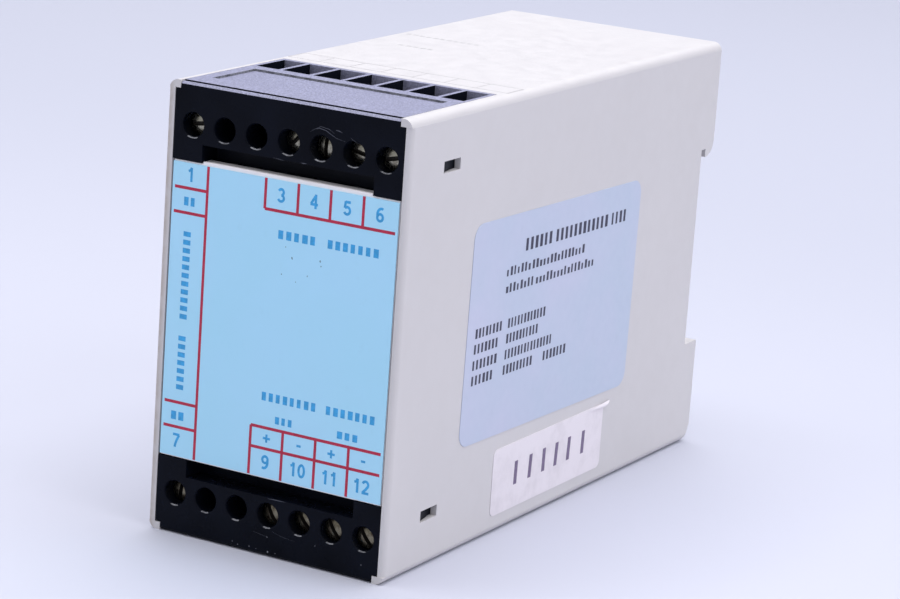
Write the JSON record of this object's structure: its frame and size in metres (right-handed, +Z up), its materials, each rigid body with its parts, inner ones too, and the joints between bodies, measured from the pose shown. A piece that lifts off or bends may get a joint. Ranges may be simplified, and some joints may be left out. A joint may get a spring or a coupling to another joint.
{
  "type": "signal conditioner",
  "caption": "Rail-mounted signal conditioner: light grey box, black screw terminal blocks above and below, blue front label, rail slot with sprung latch.",
  "frame": {"origin": "centre of the base, under the middle of the case", "axes": "+Z up, +Y from the front face to the rail side, +X to the right seen from the front"},
  "size_m": [0.0451, 0.11, 0.075],
  "materials": {
    "case_plastic": "light warm grey moulded, fine satin",
    "block_plastic": "black, polished face and spark-textured top",
    "screw_steel": "nickel plated",
    "clamp_metal": "plated",
    "contact_metal": "tinned",
    "cover_plastic": "light warm grey moulded",
    "front_label_film": "light blue printed film",
    "rating_label_film": "pale blue-grey printed film",
    "sticker_paper": "white paper sticker",
    "latch_plastic": "black moulded",
    "spring_steel": "spring wire",
    "board_laminate": "green lacquered laminate",
    "header_plastic": "black moulded",
    "core_iron": "stacked electrical sheet",
    "winding_copper": "enamelled copper wire",
    "fuse_glass": "clear tube with metal caps",
    "suppressor_resin": "blue dipped resin",
    "capacitor_sleeve": "dark blue sleeve",
    "isolator_plastic": "off-white moulded",
    "film_resin": "yellow box",
    "resistor_lacquer": "tan lacquer",
    "trimmer_plastic": "blue moulded"
  },
  "bodies": {
    "housing": {"case_shell": "case_plastic", "upper_terminal_block": "block_plastic", "lower_terminal_block": "block_plastic", "upper_clamp_screws": "screw_steel", "lower_clamp_screws": "screw_steel", "upper_wire_clamps": "clamp_metal", "lower_wire_clamps": "clamp_metal", "upper_contacts": "contact_metal", "lower_contacts": "contact_metal", "front_cover": "cover_plastic", "front_label": "front_label_film", "rating_label": "rating_label_film", "stock_sticker": "sticker_paper", "latch_spring": "spring_steel", "front_board": "board_laminate", "main_board": "board_laminate", "board_header": "header_plastic", "header_pins": "contact_metal", "transformer_core": "core_iron", "transformer_bobbin": "header_plastic", "transformer_winding": "winding_copper", "mains_fuse": "fuse_glass", "fuse_clips": "contact_metal", "surge_suppressor": "suppressor_resin", "bridge_rectifier": "header_plastic", "filter_capacitors": "capacitor_sleeve", "voltage_regulator": "header_plastic", "amplifier_chips": "header_plastic", "isolation_chip": "isolator_plastic", "film_capacitors": "film_resin", "resistors": "resistor_lacquer", "trimmers": "trimmer_plastic"},
    "rail_latch": {"rail_latch": "latch_plastic"}
  },
  "joints": [
    {"name": "latch_slide", "type": "slide", "parent": "housing", "child": "rail_latch", "axis": [0, 0, -1], "range_m": [0, 0.003], "stiffness_N_per_m": 800, "springref_m": -0.002, "deforming": ["latch_spring"]}
  ]
}
